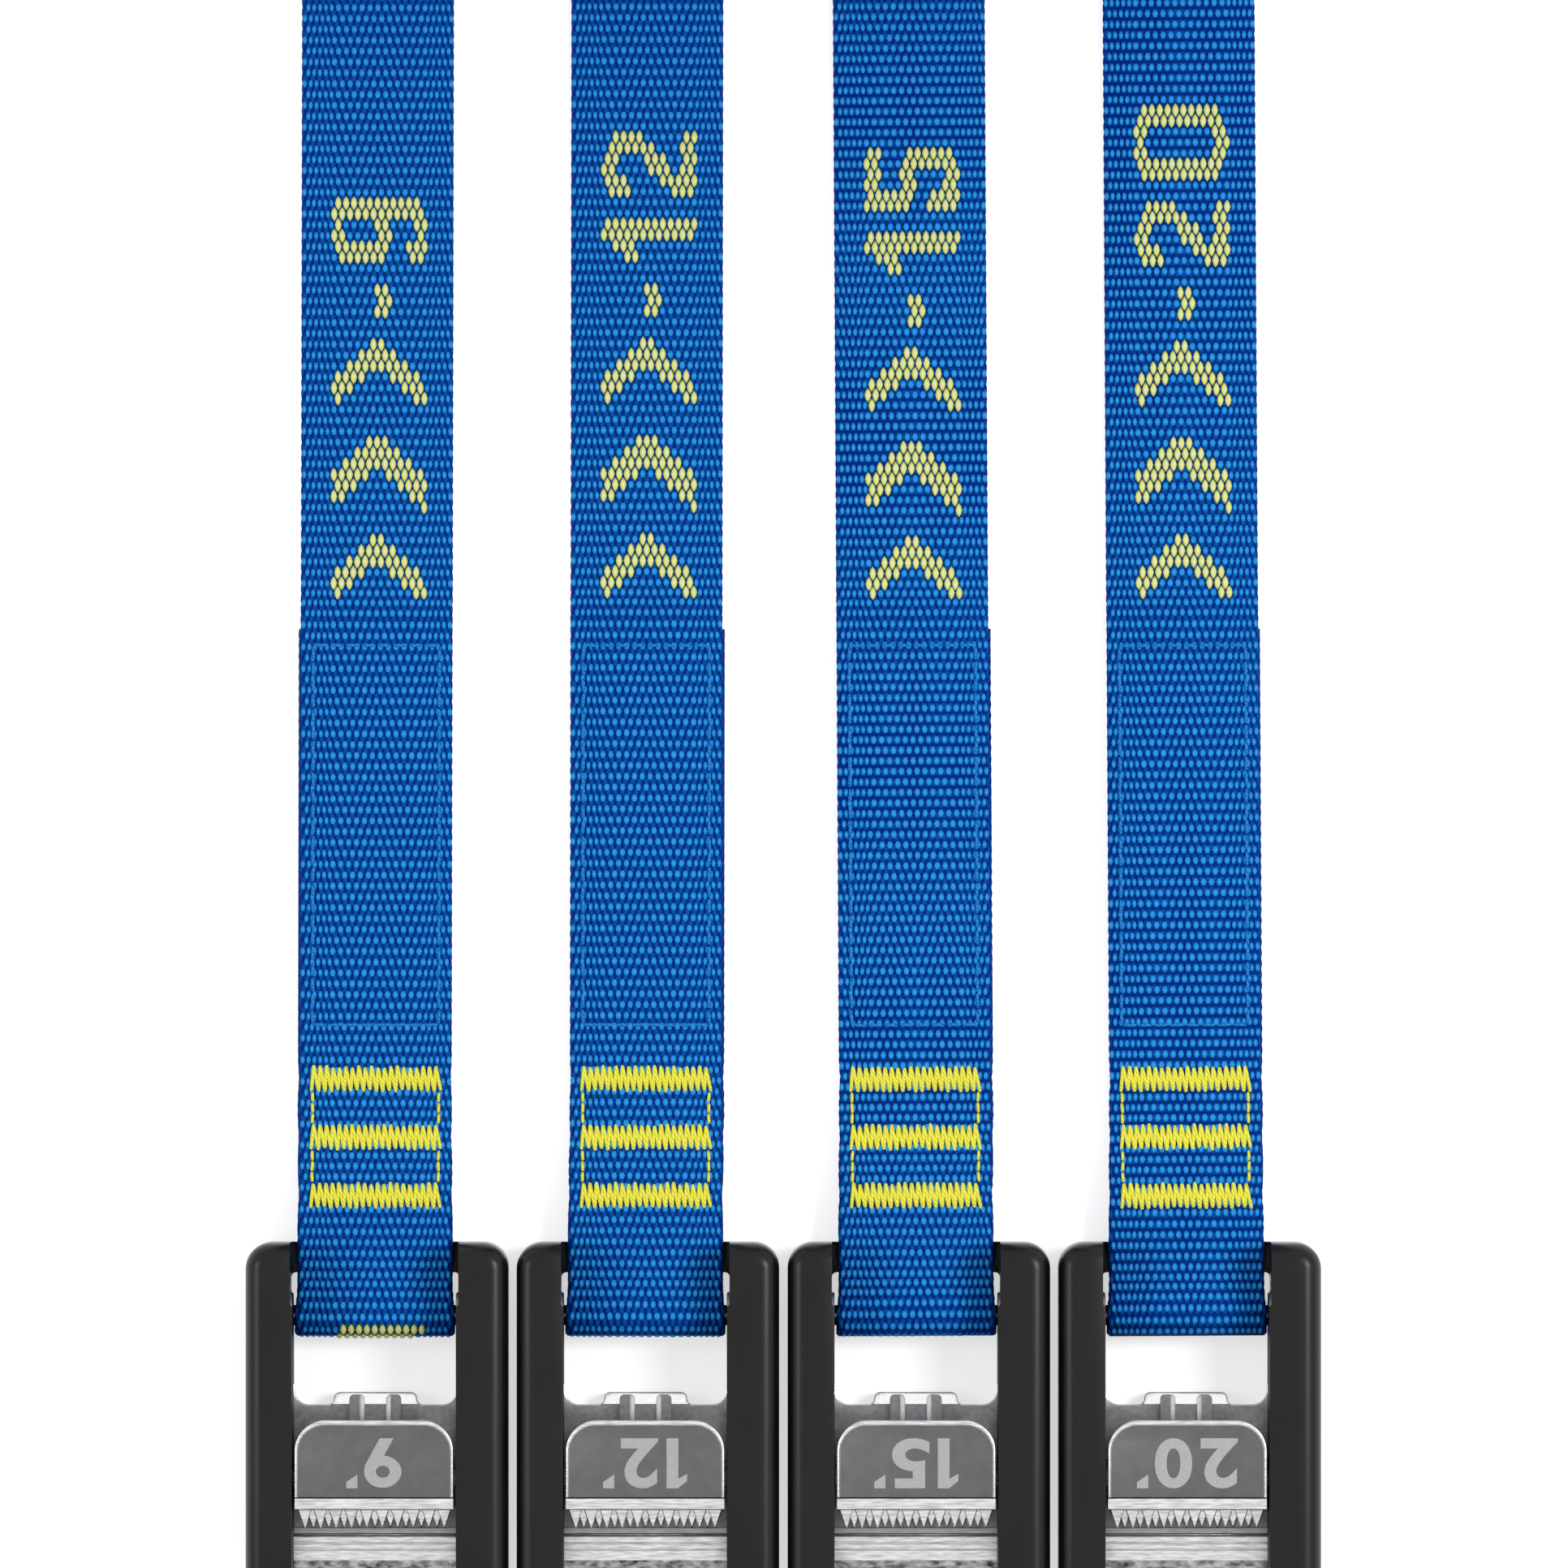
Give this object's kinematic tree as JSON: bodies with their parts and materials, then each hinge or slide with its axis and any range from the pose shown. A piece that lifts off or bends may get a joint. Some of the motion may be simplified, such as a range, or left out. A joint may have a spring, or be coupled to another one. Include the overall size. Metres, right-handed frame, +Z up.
{
  "type": "cam-buckle tie-down strap set",
  "caption": "Blue webbing tie-down straps of different lengths, each with a rubber-ringed metal cam buckle, laid side by side with their free length rolled up and tied.",
  "frame": {"origin": "middle of the underside of the whole set, on the surface it lies on", "axes": "+Y from the buckles along the straps to their rolls, +Z up, +X across the straps from the shortest to the longest"},
  "size_m": [0.1786, 0.3868, 0.1101],
  "materials": {
    "webbing": "woven polypropylene",
    "thread": "bonded polyester thread",
    "bumper_rubber": "moulded satin",
    "zinc_casting": "tumbled die-cast zinc",
    "lever_casting": "polished rim, matte recessed face",
    "pin_steel": "ground stainless",
    "spring_steel": "drawn stainless wire",
    "tie": "hook-and-loop tape"
  },
  "bodies": {
    "strap_20ft": {"webbing_strap_20ft": "webbing", "webbing_sewn_tail_20ft": "webbing", "webbing_roll_20ft": "webbing", "roll_tie_20ft": "tie", "bartack_1_20ft": "thread", "bartack_2_20ft": "thread", "bartack_3_20ft": "thread"},
    "buckle_20ft": {"bumper_20ft": "bumper_rubber", "frame_20ft": "zinc_casting", "pivot_pin_20ft": "pin_steel", "torsion_spring_20ft": "spring_steel", "webbing_loop_20ft": "webbing"},
    "cam_20ft": {"cam_lever_20ft": "lever_casting"},
    "strap_9ft": {"webbing_strap_9ft": "webbing", "webbing_sewn_tail_9ft": "webbing", "webbing_roll_9ft": "webbing", "roll_tie_9ft": "tie", "bartack_1_9ft": "thread", "bartack_2_9ft": "thread", "bartack_3_9ft": "thread"},
    "buckle_9ft": {"bumper_9ft": "bumper_rubber", "frame_9ft": "zinc_casting", "pivot_pin_9ft": "pin_steel", "torsion_spring_9ft": "spring_steel", "webbing_loop_9ft": "webbing"},
    "cam_9ft": {"cam_lever_9ft": "lever_casting"},
    "strap_12ft": {"webbing_strap_12ft": "webbing", "webbing_sewn_tail_12ft": "webbing", "webbing_roll_12ft": "webbing", "roll_tie_12ft": "tie", "bartack_1_12ft": "thread", "bartack_2_12ft": "thread", "bartack_3_12ft": "thread"},
    "buckle_12ft": {"bumper_12ft": "bumper_rubber", "frame_12ft": "zinc_casting", "pivot_pin_12ft": "pin_steel", "torsion_spring_12ft": "spring_steel", "webbing_loop_12ft": "webbing"},
    "cam_12ft": {"cam_lever_12ft": "lever_casting"},
    "strap_15ft": {"webbing_strap_15ft": "webbing", "webbing_sewn_tail_15ft": "webbing", "webbing_roll_15ft": "webbing", "roll_tie_15ft": "tie", "bartack_1_15ft": "thread", "bartack_2_15ft": "thread", "bartack_3_15ft": "thread"},
    "buckle_15ft": {"bumper_15ft": "bumper_rubber", "frame_15ft": "zinc_casting", "pivot_pin_15ft": "pin_steel", "torsion_spring_15ft": "spring_steel", "webbing_loop_15ft": "webbing"},
    "cam_15ft": {"cam_lever_15ft": "lever_casting"}
  },
  "joints": [
    {"name": "buckle_flex_20ft", "type": "hinge", "parent": "strap_20ft", "child": "buckle_20ft", "pos_m": [0.06705, -0.12935, 0.0072], "axis": [-1, 0, 0], "range_deg": [0, 90]},
    {"name": "cam_open_20ft", "type": "hinge", "parent": "buckle_20ft", "child": "cam_20ft", "pos_m": [0.06705, -0.17135, 0.01], "axis": [-1, 0, 0], "range_deg": [0, 45], "stiffness_Nm_per_rad": 0.06, "springref_deg": -40.11, "deforming": ["torsion_spring_20ft"]},
    {"name": "lift_9ft", "type": "slide", "parent": "strap_20ft", "child": "strap_9ft", "axis": [0, 0, 1], "range_m": [0, 0.15]},
    {"name": "buckle_flex_9ft", "type": "hinge", "parent": "strap_9ft", "child": "buckle_9ft", "pos_m": [-0.06795, -0.12935, 0.0072], "axis": [-1, 0, 0], "range_deg": [0, 90]},
    {"name": "cam_open_9ft", "type": "hinge", "parent": "buckle_9ft", "child": "cam_9ft", "pos_m": [-0.06795, -0.17135, 0.01], "axis": [-1, 0, 0], "range_deg": [0, 45], "stiffness_Nm_per_rad": 0.06, "springref_deg": -40.11, "deforming": ["torsion_spring_9ft"]},
    {"name": "lift_12ft", "type": "slide", "parent": "strap_20ft", "child": "strap_12ft", "axis": [0, 0, 1], "range_m": [0, 0.15]},
    {"name": "buckle_flex_12ft", "type": "hinge", "parent": "strap_12ft", "child": "buckle_12ft", "pos_m": [-0.02295, -0.12935, 0.0072], "axis": [-1, 0, 0], "range_deg": [0, 90]},
    {"name": "cam_open_12ft", "type": "hinge", "parent": "buckle_12ft", "child": "cam_12ft", "pos_m": [-0.02295, -0.17135, 0.01], "axis": [-1, 0, 0], "range_deg": [0, 45], "stiffness_Nm_per_rad": 0.06, "springref_deg": -40.11, "deforming": ["torsion_spring_12ft"]},
    {"name": "lift_15ft", "type": "slide", "parent": "strap_20ft", "child": "strap_15ft", "axis": [0, 0, 1], "range_m": [0, 0.15]},
    {"name": "buckle_flex_15ft", "type": "hinge", "parent": "strap_15ft", "child": "buckle_15ft", "pos_m": [0.02205, -0.12935, 0.0072], "axis": [-1, 0, 0], "range_deg": [0, 90]},
    {"name": "cam_open_15ft", "type": "hinge", "parent": "buckle_15ft", "child": "cam_15ft", "pos_m": [0.02205, -0.17135, 0.01], "axis": [-1, 0, 0], "range_deg": [0, 45], "stiffness_Nm_per_rad": 0.06, "springref_deg": -40.11, "deforming": ["torsion_spring_15ft"]}
  ]
}
